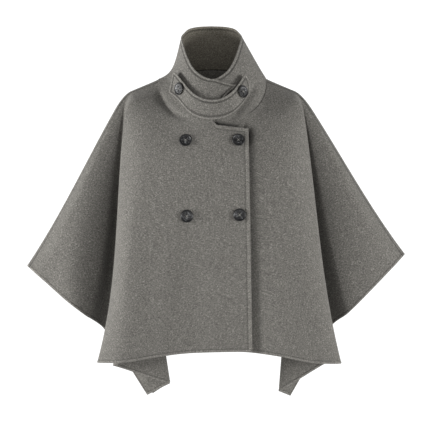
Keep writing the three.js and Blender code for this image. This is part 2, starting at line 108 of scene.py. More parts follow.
# Fall lines of the cloth, from the centre out to the overarm seam: name, angle at the neck, break
# on the left and on the right, its y and z, length that bends, lower end on the left and on the
# right, its y, fold, draw on the left and on the right, swell. At a fold the lower edge runs
# forward or back by that much, 0 leaves it smooth, and a corner is sharp.
FRONT_LINES = [
    ("centre", 0, 0, 0, -123, -235, 130, 0, -654, 0, -654, -144, 0, 0, 0, 0),
    ("inner", 24, 62, 62, -122, -226, 130, 74, -658, 74, -654, -141, 0, 0, 0, 0),
    ("bust", 42, 116, 116, -114, -198, 120, 142, -667, 150, -663, -145, 0, 0, 0, 0),
    ("side", 58, 165, 171, -91, -138, 95, 214, -679, 234, -679, -146, 0, 4, 2, 0),
    ("crest", 71, 205, 211, -41, -67, 50, 268.5, -680, 298.5, -682, -119, 0.55, 14, 9, 0),
    ("tuck", 75, 203, 210, -35, -63, 50, 152, -656, 184, -656, -94, 0.6, 4, 2, 0),
    ("second", 79, 206, 211, -28, -60, 48, 234, -692, 268, -685, -72, 0.55, 0, 0, 0),
    ("third", 82, 207, 212, -22, -57, 46, 103, -736, 157, -754, -50, 0.4, 0, 0, 0),
    ("corner", 85, 208, 212, -16, -54, 46, 156, -764, 184, -766, -36, "corner", 0, 0, 0),
    ("under", 87, 209, 212, -10, -51, 46, 262, -609, 284, -604, 4, 0, 8, 8, 0),
    ("wing", 88, 212, 213, -7, -50, 46, 302, -576, 325, -567, -33, 0, 6, 6, 4),
    ("arm", 89, 214, 214, -5, -49, 46, 409, -488, 425, -466, -24, 0, 6, 6, 12),
    ("seam", 90, 214, 214, 0, -47, 46, 446, -458, 461, -430, 0, 0, 6, 6, 0),
]
BACK_LINES = [
    ("centre", 0, 0, 0, 104, -128, 120, 0, -668, 0, -668, 146, 0, 0, 0, 0),
    ("inner", 24, 66, 66, 104, -124, 120, 78, -668, 80, -668, 152, 0, 0, 0, 0),
    ("blade", 42, 122, 122, 94, -116, 110, 146, -671, 152, -671, 138, 0, 0, 0, 0),
    ("side", 58, 165, 171, 72, -100, 90, 212, -678, 228, -680, 129, 0, 4, 2, 0),
    ("crest", 71, 199, 208, 37, -68, 60, 262, -684, 288, -686, 98, 0.55, 9, 5, 0),
    ("tuck", 75, 202, 210, 31, -63, 52, 160, -658, 190, -658, 80, 0.6, 4, 2, 0),
    ("second", 79, 206, 212, 26, -60, 48, 226, -690, 256, -684, 62, 0.55, 0, 0, 0),
    ("third", 82, 209, 213, 21, -56, 46, 105, -742, 166, -756, 46, 0.4, 0, 0, 0),
    ("corner", 85, 212, 214, 16, -53, 46, 146, -768, 190, -764, 38, "corner", 0, 0, 0),
    ("under", 87, 210, 213, 10, -51, 46, 258, -603, 280, -596, 24, 0, 6, 6, 4),
    ("wing", 88, 213, 214, 7, -50, 46, 304, -568, 322, -558, 34, 0, 6, 6, 10),
    ("arm", 89, 214, 214, 5, -49, 46, 409, -486, 425, -464, 22, 0, 6, 6, 14),
    ("seam", 90, 214, 214, 0, -47, 46, 446, -458, 461, -430, 0, 0, 6, 6, 0),
]

# The bend over the shoulder starts above the break, by a share of its own length or of the stretch
# above, and lies between two shares of the way down. PULL_PEAK gives a draw or a swell its full size
# two thirds down the drop.
ABOVE_BREAK = {"of_round": 0.45, "of_stretch": 0.45}
TURN_FROM = 0.12
TURN_TO = 0.36
PULL_PEAK = 6.75

# How finely the cloth is drawn: columns between fall lines, and rows down them. Between the lines
# of FOLDED the columns crowd towards the folds.
COLUMNS_BETWEEN = [10, 10, 11, 14, 20, 16, 20, 10, 20, 16, 16, 12]
LAP_COLUMNS = 16
ROWS_ABOVE = 4
ROWS_TURN = 24
ROWS_DROP = 52
FOLDED = (3, 7)

# A turned and topstitched edge: distances from it at which the cloth has a row or a column, how it
# rounds off, puffs up and dips at its stitches, and how a seam pinches the cloth and how far its painted
# shade reaches, the neck seam's a little less. The collar, the tab and the hem are stitched nearer, by
# NARROW.
EDGE_STEPS = np.array([0, 0.25, 0.8, 1.8, 3.5, 5.5, 7.5, 8.8, 9.5, 10, 10.5, 11.2, 13, 16])
STITCH_STEP = 9
STITCH_IN = EDGE_STEPS[STITCH_STEP]
NARROW = 0.65
EDGE_ROUND = 1.5
EDGE_LEAST = 0.06
EDGE_PUFF = 0.9
STITCH_DIP = 1.1
STITCH_WIDTH = 0.75
SEAM_PINCH = 0.6
SEAM_REACH = 2.2
NECK_FADE = 1.9
UNSEWN = 99

# The overarm seam lies forward of the outline by SEAM_FORWARD, found in steps of a station as far as
# SEAM_LIMIT. The front is drawn in to it from a station that is lower near the top. The back turns
# round the side towards it in WRAP_STEPS, and stops just short.
SEAM_FORWARD = 8.0
SEAM_STEP = 0.02
SEAM_LIMIT = 7.5
DRAWN_IN = {"station": 9, "higher": 2, "until": 0.3}
WRAP_STEPS = np.array([0.06, 0.14, 0.26, 0.42, 0.6, 0.76, 0.88, 0.96, 1.0])
WRAP_SHORT = 0.25


def smooth(x, low, high):
    t = np.clip((x - low) / (high - low), 0, 1)
    return t * t * (3 - 2 * t)


def between(x, start, full, fade, end):
    """A share that grows from start to full and goes again from fade to end."""
    return smooth(x, start, full) * (1 - smooth(x, fade, end))


def unit(v):
    return v / np.maximum(np.linalg.norm(v, axis=-1, keepdims=True), 1e-9)


def lengths(v):
    return np.linalg.norm(v, axis=-1)


def xyz(x, y, z):
    return np.stack(np.broadcast_arrays(x, y, z), axis=-1).astype(float)


class Curve:
    """A smooth curve through points, one for each whole number. A turn sets its heading there."""

    def __init__(self, points, turns=None):
        self.points = np.array(points, float)
        self.last = len(self.points) - 1
        steps = np.diff(self.points, axis=0)
        self.chords = lengths(steps)
        self.chords[self.chords == 0] = 1
        turns = turns or [None] * (self.last + 1)
        self.leaving = np.array([self.heading(k, turn, steps, k) for k, turn in enumerate(turns)])
        self.arriving = np.array([self.heading(k, turn, steps, k - 1) for k, turn in enumerate(turns)])

    def heading(self, k, turn, steps, own):
        if isinstance(turn, str):
            return steps[own] / self.chords[own]
        if turn is not None:
            return turn
        before, after = max(k - 1, 0), min(k + 1, self.last)
        return (self.points[after] - self.points[before]) / self.chords[before:after].sum()

    def at(self, u):
        k = np.clip(np.floor(u).astype(int), 0, self.last - 1)
        t = (u - k)[..., None]
        chord = self.chords[k][..., None]
        near = self.points[k] * (2 * t**3 - 3 * t**2 + 1) + self.leaving[k] * (t**3 - 2 * t**2 + t) * chord
        far = self.points[k + 1] * (3 * t**2 - 2 * t**3) + self.arriving[k + 1] * (t**3 - t**2) * chord
        return near + far


def neck_edge(angle):
    """The seam between collar and body, by angle from the centre front."""
    a = np.radians(angle)
    front = np.cos(a) > 0
    depth = np.where(front, NECK["front"], NECK["back"])
    dip = 1 - np.abs(1 - np.cos(a)) ** NECK_CURVE["dip"]
    rise = np.abs(np.cos(a)) ** NECK_CURVE["rise"]
    low = NECK["side_z"] + (NECK["front_z"] - NECK["side_z"]) * dip
    high = NECK["side_z"] + (NECK["back_z"] - NECK["side_z"]) * rise
    return xyz(NECK["half_width"] * np.sin(a), -depth * np.cos(a), np.where(front, low, high))


class Shell:
    """One face of the cape, front (-1) or back (1), by station across and by share down."""

    def __init__(self, lines, face):
        self.last = len(lines) - 1
        neck, bend, end, turns, rounding, pull = [], [], [], [], [], []
        for k in range(-self.last, self.last + 1):
            (_, angle, left_break, right_break, break_y, break_z, bent, left_x, left_z,
             right_x, right_z, end_y, turn, left_draw, right_draw, swell) = lines[abs(k)]
            side = -1 if k < 0 else 1
            x, z, out, draw = ((left_x, left_z, left_break, left_draw) if k < 0
                               else (right_x, right_z, right_break, right_draw))
            neck.append((side * angle if face < 0 else 180 - side * angle, 0, 0))
            bend.append((side * out, break_y, break_z))
            end.append((side * x, end_y, z))
            folded = not isinstance(turn, str) and turn > 0
            turns.append(np.array((0, -side * face * turn, 0)) if folded else (turn or None))
            rounding.append((bent, 0, 0))
            pull.append((-side * draw, face * swell, 0))
        self.neck, self.bend, self.rounding = Curve(neck), Curve(bend), Curve(rounding)
        self.end, self.pull = Curve(end, turns), Curve(pull)

    def line(self, u):
        """A fall line's start, the ends of its bend, its break and its end."""
        s = u + self.last
        start, turn, end = neck_edge(self.neck.at(s)[..., 0]), self.bend.at(s), self.end.at(s)
        bent = self.rounding.at(s)[..., 0]
        above = np.minimum(ABOVE_BREAK["of_round"] * bent, ABOVE_BREAK["of_stretch"] * lengths(start - turn))
        before = turn + unit(start - turn) * above[..., None]
        after = turn + unit(end - turn) * bent[..., None]
        return start, before, turn, after, end

    def point(self, u, v):
        start, before, turn, after, end = self.line(u)
        v = v[..., None]
        straight = start + (before - start) * v / TURN_FROM
        t = (v - TURN_FROM) / (TURN_TO - TURN_FROM)
        bending = (before + (turn - before) * t) * (1 - t) + (turn + (after - turn) * t) * t
        t = (v - TURN_TO) / (1 - TURN_TO)
        pulled = self.pull.at(u + self.last) * PULL_PEAK * t * t * (1 - t)
        drop = after + (end - after) * t + pulled
        return np.where(v < TURN_FROM, straight, np.where(v < TURN_TO, bending, drop))

    def rows(self, u):
        """The shares down each fall line: by distance at both ends, and even between them."""
        start, before, _, after, end = self.line(u)
        top = EDGE_STEPS * TURN_FROM / lengths(before - start)[:, None]
        foot = 1 - NARROW * EDGE_STEPS[::-1] * (1 - TURN_TO) / lengths(end - after)[:, None]
        parts = [top]
        bounds = [(top[:, -1], TURN_FROM, ROWS_ABOVE), (TURN_FROM, TURN_TO, ROWS_TURN),
                  (TURN_TO, foot[:, 0], ROWS_DROP)]
        for low, high, count in bounds:
            low, high = np.broadcast_arrays(low, high, top[:, 0])[:2]
            shares = np.arange(count) / count
            parts.append(low[:, None] + (high - low)[:, None] * shares)
        parts[1] = parts[1][:, 1:]
        return np.concatenate([*parts, foot], axis=1)


front = Shell(FRONT_LINES, -1)
back = Shell(BACK_LINES, 1)


def stations(first, final):
    """Stations of the columns from one fall line to another, closer together at the folds."""
    step = 1 if final > first else -1
    found = [float(first)]
    for k in range(first, final, step):
        count = COLUMNS_BETWEEN[min(abs(k), abs(k + step))]
        for i in range(1, count + 1):
            share = i / count
            if FOLDED[0] <= min(abs(k), abs(k + step)) <= FOLDED[1]:
                share = (1 - math.cos(math.pi * share)) / 2
            found.append(k + step * share)
    return np.array(found)


def facing(grid, outward):
    """The way that the cloth faces at each point of a grid of columns."""
    across = np.gradient(grid, axis=0)
    down = np.gradient(grid, axis=1)
    normals = unit(np.cross(across, down))
    middle = normals[grid.shape[0] // 2, grid.shape[1] // 2]
    return normals if middle @ np.array(outward) > 0 else -normals


def on_front(x, z, u, v):
    """The stations and shares at which the front's surface has the given x and z."""
    tiny = 1e-4
    most_across, most_down = 0.3, 0.05
    for _ in range(40):
        p = front.point(u, v)
        du = (front.point(u + tiny, v) - p) / tiny
        dv = (front.point(u, v + tiny) - p) / tiny
        det = du[..., 0] * dv[..., 2] - dv[..., 0] * du[..., 2]
        ex, ez = x - p[..., 0], z - p[..., 2]
        u = u + np.clip((ex * dv[..., 2] - ez * dv[..., 0]) / det, -most_across, most_across)
        v = v + np.clip((ez * du[..., 0] - ex * du[..., 2]) / det, -most_down, most_down)
    return u, v


def top_edge(x, edge):
    """Height of a front's top edge past the centre: it drops at its notch, then runs to its corner."""
    share = np.clip(x / edge["top_x"], 0, 1)
    drop = edge["notch"] * smooth(x, 0, NOTCH_LENGTH) * (1 - share)
    return NECK["front_z"] + (edge["top_z"] - NECK["front_z"]) * share - drop


def lap_columns(side, edge):
    """Columns of a front that run past the centre to its own edge, on the given side."""
    v = front.rows(np.zeros(1))[0]
    middle = front.point(np.zeros_like(v), v)
    top, foot = middle[0, 2], middle[-1, 2]
    down = (top - middle[:, 2]) / (top - foot)
    even = np.arange(1, LAP_COLUMNS + 1) / LAP_COLUMNS * (1 - EDGE_STEPS[-1] / edge["top_x"])
    share = np.concatenate([even[:-1], 1 - EDGE_STEPS[::-1] / edge["top_x"]])[:, None]
    x = side * share * (edge["top_x"] + (edge["hem_x"] - edge["top_x"]) * down)
    hem = front.point(side * share[:, 0], np.ones(len(share)))[:, 2]
    highest = top_edge(side * x[:, :1], edge)
    z = highest + (hem[:, None] - highest) * down
    guess = side * share * (LAP["stations"] - LAP["fewer_below"] * down)
    u, v = on_front(x, z, guess, np.broadcast_to(v, x.shape))
    return front.point(u, v)


def seam_stations(v, side):
    """Where the overarm seam crosses each row of the front, forward of the outline."""
    found = np.full_like(v, side * front.last)
    travelled = np.zeros_like(v)
    here = front.point(found, v)
    while np.any(travelled < SEAM_FORWARD) and np.all(np.abs(found) > SEAM_LIMIT):
        step = np.where(travelled < SEAM_FORWARD, SEAM_STEP, 0)
        found = found - side * step
        there = front.point(found, v)
        travelled = travelled + lengths(there - here)
        here = there
    return found


def from_edge(grid, axis, from_start):
    """How far each point is from the first or last row or column, along the cloth."""
    steps = lengths(np.diff(grid, axis=axis))
    travelled = np.cumsum(steps if from_start else np.flip(steps, axis), axis=axis)
    zero = np.zeros_like(np.take(travelled, [0], axis=axis))
    distance = np.concatenate([zero, travelled], axis=axis)
    return distance if from_start else np.flip(distance, axis)


def wall_at(free, sewn, stitch_in):
    """The cloth's thickness, by distance from a turned and stitched edge and from a seam."""
    rounded = np.sqrt(np.clip(1 - (1 - np.clip(free / EDGE_ROUND, 0, 1)) ** 2, EDGE_LEAST, 1))
    puff = EDGE_PUFF * np.sin(math.pi * np.clip(free / stitch_in, 0, 1)) ** 2
    dip = STITCH_DIP * np.exp(-(((free - stitch_in) / STITCH_WIDTH) ** 2))
    seam = np.sqrt(np.clip(1 - (1 - np.clip(sewn / EDGE_ROUND, 0, 1)) ** 2, SEAM_PINCH, 1))
    return (CLOTH + puff - dip) * rounded * seam


def soft_folds(grid, station):
    """How far the hanging front swells out or sinks in, as wide soft flutes that grow downwards."""
    x, z = grid[..., 0], grid[..., 2]
    swell = 0
    for heights, flutes in FLUTES:
        grown = smooth(-z, *heights)
        for middle, width, size in flutes:
            off = x - middle * (FLUTES_AT_TOP + (1 - FLUTES_AT_TOP) * grown)
            swell = swell + size * grown * np.exp(-((off / width) ** 2))
    return swell * (1 - between(np.abs(station)[:, None], *FLUTES_LEFT_OUT))


def edge_tones(free, sewn, stitch_in):
    """What the wool's finish needs at each point: how near it is to a stitched edge and to a seam, which
    set its painted edge highlight and painted shade.
    """
    return np.stack([np.clip(free / stitch_in, 0, 3), np.clip(sewn / SEAM_REACH, 0, 3)], axis=-1) / 3


def smooth_mesh(name, bm):
    mesh = bpy.data.meshes.new(name)
    bm.to_mesh(mesh)
    bm.free()
    mesh.shade_smooth()
    return mesh


def put(name, data):
    """Puts a mesh, light or camera in the scene."""
    made = bpy.data.objects.new(name, data)
    bpy.context.scene.collection.objects.link(made)
    return made


def piece_from(bm, name, material):
    mesh = smooth_mesh(name, bm)
    mesh.materials.append(material)
    return put(name, mesh)


def belong(piece, node=None):
    """Hangs a piece from the root, and hides the CAD node that it stands for if there is one."""
    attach(piece, "root")
    if node:
        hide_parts(node)


def cloth_mesh(name, grid, normals, shares, tones):
    """The middle surface of a piece of cloth over a grid of points, with its wall as shares."""
    columns, rows = grid.shape[:2]
    bm = bmesh.new()
    flat = bm.loops.layers.uv.new("cloth")
    edges = bm.loops.layers.uv.new("edges")
    wall = bm.verts.layers.deform.new()
    bmesh.ops.create_grid(bm, x_segments=columns - 1, y_segments=rows - 1, size=1)
    across = from_edge(grid, 0, True) * MM
    down = from_edge(grid, 1, True) * MM
    place = {}
    for vert in bm.verts:
        i = round((vert.co.x + 1) / 2 * (columns - 1))
        j = round((vert.co.y + 1) / 2 * (rows - 1))
        place[vert] = (i, j)
        vert[wall][0] = float(shares[i, j])
    for vert, at in place.items():
        vert.co = Vector(grid[at]) * MM
    for loop in (loop for face in bm.faces for loop in face.loops):
        at = place[loop.vert]
        loop[flat].uv = (across[at], down[at])
        loop[edges].uv = tones[at]
    bm.normal_update()
    middle = next(vert for vert, at in place.items() if at == (columns // 2, rows // 2))
    if middle.normal.dot(Vector(normals[place[middle]])) < 0:
        bmesh.ops.reverse_faces(bm, faces=bm.faces)
    return smooth_mesh(name, bm)


def cloth_piece(name, grid, normals, thickness, tones, materials):
    """A piece of cloth whose wall is given by Solidify. Its materials are the outer and inner one."""
    thickest = float(thickness.max())
    mesh = cloth_mesh(name, grid, normals, thickness / thickest, tones)
    piece = put(name, mesh)
    piece.vertex_groups.new(name="wall")
    wall = piece.modifiers.new("wall", "SOLIDIFY")
    wall.thickness = thickest * MM
    wall.offset = 0
    wall.vertex_group = "wall"
    wall.use_quality_normals = True
    wall.material_offset = 1
    for material in materials:
        mesh.materials.append(material)
    return piece


# Stitches: how long, wide and thick one is, how far apart they are, from middle to middle, how far
# one is sunk in the cloth, and how far from its middle, in lengths, the cloth gives its direction.
STITCH = {"length": 3.1, "width": 0.62, "thick": 0.5, "pitch": 3.7, "sunk": 0.08, "aim": 0.3}
BATCH = 40


def stitch(middle, along, normal, length, width, thick):
    """Where one stitch lies: a small long bead, with its own z along the thread."""
    side = unit(np.cross(along, normal))
    normal = np.cross(side, along)
    turned = Matrix((side * width / 2, normal * thick / 2, along * length / 2)).transposed().to_4x4()
    return Matrix.Translation(Vector(middle * MM)) @ Matrix.Scale(MM, 4) @ turned


def add_stitches(bm, places):
    """Adds stitches in batches, because a small mesh grows faster than a large one."""
    for first in range(0, len(places), BATCH):
        batch = bmesh.new()
        for place in places[first: first + BATCH]:
            bmesh.ops.create_uvsphere(batch, u_segments=6, v_segments=4, radius=1, matrix=place)
        mesh = bpy.data.meshes.new("batch")
        batch.to_mesh(mesh)
        batch.free()
        bm.from_mesh(mesh)
        bpy.data.meshes.remove(mesh)


def running_stitches(path, normals):
    """The places of a line of stitches along a path that lies on the cloth."""
    travelled = np.concatenate([[0], np.cumsum(lengths(np.diff(path, axis=0)))])

    def at(distance, values):
        return np.array([np.interp(distance, travelled, values[:, axis]) for axis in range(3)])

    places = []
    count = int(travelled[-1] / STITCH["pitch"])
    reach = STITCH["aim"] * STITCH["length"]
    for k in range(count):
        here = (k + 0.5) / count * travelled[-1]
        along = unit(at(here + reach, path) - at(here - reach, path))
        size = STITCH["length"], STITCH["width"], STITCH["thick"]
        places.append(stitch(at(here, path), along, unit(at(here, normals)), *size))
    return places


class Tone:
    """A shader socket. Arithmetic on it adds Math nodes."""

    def __init__(self, tree, socket):
        self.tree, self.socket = tree, socket

    def math(self, operation, a, b):
        return self.tree.node("ShaderNodeMath", {"operation": operation}, {0: a, 1: b})

    def __add__(self, other):
        return self.math("ADD", self, other)

    def __radd__(self, other):
        return self.math("ADD", other, self)

    def __mul__(self, other):
        return self.math("MULTIPLY", self, other)

    def __rmul__(self, other):
        return self.math("MULTIPLY", other, self)


def set_stops(elements, stops):
    while len(elements) < len(stops):
        elements.new(0.5)
    for element, (position, tone) in zip(elements, stops):
        element.position, element.color = position, (*tone, 1)


class NodeTree:
    """The nodes of a material or of the world."""

    def __init__(self, owner):
        owner.use_nodes = True
        self.nodes, self.links = owner.node_tree.nodes, owner.node_tree.links

    def join(self, socket, value):
        if isinstance(value, Tone):
            self.links.new(value.socket, socket)
        else:
            socket.default_value = value

    def node(self, kind, settings, values, output=0):
        made = self.nodes.new(kind)
        for name, value in settings.items():
            if name == "stops":
                set_stops(made.color_ramp.elements, value)
            else:
                setattr(made, name, value)
        for name, value in values.items():
            self.join(made.inputs[name], value)
        return Tone(self, made.outputs[output])

    def ramp(self, stops, tone):
        return self.node("ShaderNodeValToRGB", {"stops": stops}, {"Fac": tone})


class Finish(NodeTree):
    """A material of nodes around a Principled surface."""

    def __init__(self, name, fixed):
        self.material = bpy.data.materials.new(name)
        super().__init__(self.material)
        self.surface = self.nodes["Principled BSDF"]
        for socket, value in fixed.items():
            self.surface.inputs[socket].default_value = value

    def noise(self, where, scale, detail=2.0, roughness=0.5, distortion=0.0):
        values = {"Vector": where, "Scale": scale, "Detail": detail, "Roughness": roughness,
                  "Distortion": distortion}
        return self.node("ShaderNodeTexNoise", {}, values)

    def stretched(self, where, scale):
        return self.node("ShaderNodeMapping", {}, {"Vector": where, "Scale": scale})

    def place(self):
        return self.node("ShaderNodeTexCoord", {}, {}, output="Object")

    def bump(self, height, strength, distance):
        values = {"Strength": strength, "Distance": distance * MM, "Height": height}
        return self.node("ShaderNodeBump", {}, values)

    def mix(self, factor, a, b, blend="MIX"):
        settings = {"data_type": "RGBA", "blend_type": blend}
        return self.node("ShaderNodeMix", settings, {0: factor, 6: a, 7: b}, output=2)

    def show(self, **tones):
        for socket, tone in tones.items():
            self.join(self.surface.inputs[socket.replace("_", " ")], tone)


def rgba(red, green, blue):
    return (red, green, blue, 1)


def greys(*stops):
    return [(position, (value, value, value)) for position, value in stops]


# How pale or dark the wool is painted by its distance from an edge and from a seam. The stitches, or the
# reach of the seam, are at 1/3. An edge is paler as far as its stitches, partly pressed wear and partly a
# painted highlight where its roll catches the light, and the stitch row and the seams get painted shade.
EDGE_WEAR_AND_SHADE = greys((0.0, 0.86), (0.035, 1.0), (0.25, 1.0), (0.30, 0.60), (0.37, 0.60), (0.43, 0.85))
NARROW_WEAR_AND_SHADE = greys((0.0, 0.9), (0.035, 1.06), (0.22, 1.06), (0.28, 0.42), (0.44, 0.42), (0.54, 0.85))
SEAM_SHADE = greys((0.0, 0.35), (0.08, 0.6), (0.15, 0.76), (0.34, 1.0))
INNER_SHADE = greys((0.0, 0.32), (0.5, 0.32), (0.78, 1.0))

# The colours of the melange, from its darkest fibres to its palest, and where they change.
TONES_AT = (0.38, 0.465, 0.53, 0.63)
WOOL_TONES = [(0.066, 0.063, 0.057), (0.140, 0.134, 0.122), (0.184, 0.176, 0.160), (0.37, 0.355, 0.325)]
INSIDE_TONES = [(0.072, 0.066, 0.053), (0.145, 0.133, 0.108), (0.19, 0.174, 0.143), (0.37, 0.34, 0.28)]


def wool_finish(name, tones, wear_and_shade=EDGE_WEAR_AND_SHADE, shade=SEAM_SHADE):
    """Felted melange wool: pale and dark fibres over a warm grey, and a short nap. Its edges are paler,
    partly wear and partly painted highlight, with painted shade at the stitch rows and the seams.
    """
    wool = Finish(name, {"Sheen Weight": 0.12, "Sheen Roughness": 0.5, "Specular IOR Level": 0.12})
    cloth = wool.node("ShaderNodeUVMap", {"uv_map": "cloth"}, {})
    place = wool.place()
    fibres = wool.noise(wool.stretched(cloth, (1, 0.45, 1)), 640, 3, 0.7)
    crossing = wool.noise(wool.stretched(cloth, (0.5, 1, 1)), 460, 2, 0.65)
    clumps = wool.noise(place, 330, 2, 0.6)
    drift = wool.noise(place, 60, 2, 0.5)
    mixed = fibres * 0.38 + crossing * 0.26 + clumps * 0.31 + drift * 0.05
    colour = wool.ramp(list(zip(TONES_AT, tones)), mixed)
    near = wool.node("ShaderNodeUVMap", {"uv_map": "edges"}, {})
    to_edge = wool.node("ShaderNodeSeparateXYZ", {}, {0: near})
    to_seam = wool.node("ShaderNodeSeparateXYZ", {}, {0: near}, output=1)
    # The edge's paleness is partly wear and partly painted highlight; the darker stitch row and seams are
    # painted shade.
    colour = wool.mix(1.0, colour, wool.ramp(wear_and_shade, to_edge), "MULTIPLY")
    colour = wool.mix(1.0, colour, wool.ramp(shade, to_seam), "MULTIPLY")
    fuzz = wool.noise(place, 1500, 3, 0.7)
    height = fibres * 0.5 + fuzz * 0.5
    wool.show(Base_Color=colour, Roughness=0.82 + 0.16 * fuzz, Normal=wool.bump(height, 0.55, 0.5))
    return wool.material


def thread_finish(name, dark, pale):
    """Spun thread, with the twist of its plies."""
    thread = Finish(name, {"Sheen Weight": 0.2, "Specular IOR Level": 0.25})
    place = thread.place()
    twist = {"Vector": place, "Scale": 700.0}
    plies = thread.node("ShaderNodeTexWave", {"bands_direction": "DIAGONAL"}, twist)
    hairs = thread.noise(place, 2400, 2, 0.6)
    tone = plies * 0.5 + hairs * 0.5
    colour = thread.mix(tone, rgba(*dark), rgba(*pale))
    thread.show(Base_Color=colour, Roughness=0.6 + 0.3 * hairs, Normal=thread.bump(tone, 0.5, 0.2))
    return thread.material


def horn_finish(name, stops):
    """Dark horn, clouded with grey and polished."""
    horn = Finish(name, {"Specular IOR Level": 0.38, "Coat Roughness": 0.15})
    place = horn.place()
    clouds = horn.noise(place, 130, 4, 0.6, 1.2)
    streaks = horn.noise(horn.stretched(place, (1, 1, 3.5)), 190, 3, 0.7, 2.0)
    colour = horn.ramp(stops, clouds * 0.6 + streaks * 0.4)
    horn.show(Base_Color=colour, Roughness=0.28 + 0.25 * streaks, Coat_Weight=0.25 * clouds)
    return horn.material


WOOL = wool_finish("wool", WOOL_TONES)
NARROW_WOOL = wool_finish("wool of the narrow pieces", WOOL_TONES, NARROW_WEAR_AND_SHADE)
WOOL_INSIDE = wool_finish("wool inside", INSIDE_TONES, NARROW_WEAR_AND_SHADE, INNER_SHADE)
SEAM_THREAD = thread_finish("seam thread", (0.09, 0.085, 0.075), (0.26, 0.245, 0.215))
BUTTON_THREAD = thread_finish("button thread", (0.10, 0.098, 0.09), (0.30, 0.29, 0.27))
# The buttonhole thread is near-black as painted shade for the slit that is not cut.
SLIT_SHADE_THREAD = thread_finish("buttonhole thread with painted slit shade", (0.012, 0.012, 0.012), (0.06, 0.058, 0.054))
HORN = horn_finish("horn", [(0.43, (0.002, 0.002, 0.0024)), (0.53, (0.012, 0.0122, 0.013)),
                            (0.65, (0.19, 0.193, 0.196))])
HORN_RIM = horn_finish("horn of the rim", [(0.4, (0.001, 0.001, 0.0012)), (0.6, (0.004, 0.004, 0.0044)),
                                           (0.75, (0.02, 0.02, 0.021))])


RIM_SAMPLES = 2000
rim_curve = Curve([(angle, z, 0) for angle, z in RIM_HEIGHTS])
rim_table = rim_curve.at(np.linspace(0, rim_curve.last, RIM_SAMPLES))


def wrapped(angle):
    return np.where(angle > 180, angle - 360, angle)


def rim_z(angle):
    return np.interp(np.abs(wrapped(angle)), rim_table[:, 0], rim_table[:, 1])


def collar_point(angle, share):
    """The collar's surface, by angle from the centre front (plus is towards -X) and share up."""
    a = np.radians(angle)
    depth = np.where(np.cos(a) > 0, RIM["front"], RIM["back"])
    rim = xyz(RIM["shift"] - RIM["half_width"] * np.sin(a), -depth * np.cos(a), rim_z(angle))
    flare = FLARE["size"] * between(wrapped(angle), *FLARE["angles"])
    drawn = flare * (1 - share) * (1 - np.exp(-share / FLARE["reach"]))
    foot = neck_edge(-angle)
    return foot + (rim - foot) * share[..., None] + xyz(drawn, 0, 0)


def collar_facing(angle, share):
    around = collar_point(angle + 0.5, share) - collar_point(angle - 0.5, share)
    up = collar_point(angle, share + 0.02) - collar_point(angle, share - 0.02)
    return -unit(np.cross(around, up))


def by_side(angle, sizes):
    return np.where(wrapped(angle) > 0, sizes["on_left"], sizes["on_right"])


def seam_pull(angle, away, reach):
    """How the cloth lies beside the neck seam: filled out over it, less its soft valley."""
    turned = np.mod(-angle, 360)
    from_front = np.abs(wrapped(turned))
    out = collar_facing(turned, np.full_like(turned, AT_FOOT))
    depth = SEAM_DENT["depth"] + by_side(turned, SEAM_DENT) * between(from_front, *SEAM_DENT["angles"])
    valley = (out * depth[:, None])[:, None, :] * np.exp(-((away / reach) ** 2))[..., None]
    size = by_side(turned, SEAM_FILL) * between(from_front, *SEAM_FILL["angles"])
    rise = unit(out + xyz(0, 0, SEAM_FILL["up"])) * size[:, None]
    return rise[:, None, :] * np.exp(-away / SEAM_FILL["reach"])[..., None] - valley


def surface_run(grid, normals, thickness, pick, face):
    """The path of a stitch line on the outer (1) or inner (-1) face of the cloth."""
    lift = (thickness / 2 - STITCH["sunk"])[..., None] * normals * face
    return (grid + lift)[pick], (normals * face)[pick]


def sewn_cloth(name, node, grid, outward, free, seams, materials, picks, scale=1.0, faces=(1, -1)):
    """A piece of cloth and its lines of stitches.

    Free is how far each point is from a free edge. Seams are how far it is from what pinches the
    cloth, and from where painted shade darkens it. Picks are the columns and rows that are stitched.
    """
    normals = facing(grid, outward)
    pinched, shade_distance = seams
    thickness = wall_at(free, pinched, STITCH_IN * scale)
    tones = edge_tones(free, shade_distance, STITCH_IN * scale)
    piece = cloth_piece(name, grid, normals, thickness, tones, materials)
    belong(piece, node)
    bm = bmesh.new()
    for face in faces:
        for pick in picks:
            path, outwards = surface_run(grid, normals, thickness, pick, face)
            add_stitches(bm, running_stitches(path, outwards))
    thread = piece_from(bm, name.replace("cloth", "stitching"), SEAM_THREAD)
    belong(thread)
    return piece, thread


def sunk(grid, top):
    """How far the lower front sinks beside the upper one's free edge and under its top edge."""
    x, z = grid[..., 0], grid[..., 2]
    down = np.clip((FRONT_EDGE["top_z"] - z) / (FRONT_EDGE["top_z"] + SINK["hem"]), 0, 1)
    edge_x = FRONT_EDGE["top_x"] + (FRONT_EDGE["hem_x"] - FRONT_EDGE["top_x"]) * down
    edge_z = top_edge(x, FRONT_EDGE)
    beside = 1 - smooth(x - edge_x, 0, SINK["width"] + SINK["spread"] * down)
    under = 1 - smooth(edge_x - x, *SINK["under"])
    near_top = (1 - smooth(edge_z - z, *SINK["top_reach"])) * smooth(x, *SINK["top_from"])
    above = 1 - smooth(z - edge_z, *SINK["above"])
    depth = SINK["depth"] + (SINK["top_depth"] - SINK["depth"]) * near_top
    return depth * beside * np.maximum(under, near_top) * above * smooth(top, 0, SINK["seam"])


def crease_shadow(grid):
    """How near the lower front is to the painted shadow in the gap under the upper one's top edge."""
    x, z = grid[..., 0], grid[..., 2]
    off = np.abs(z - top_edge(x, FRONT_EDGE) - CREASE_SHADOW["above"])
    past = smooth(x, *CREASE_SHADOW["on_right"]) + smooth(-x, *CREASE_SHADOW["on_left"])
    return CREASE_SHADOW["fade"] * off + CREASE_SHADOW["far"] * past


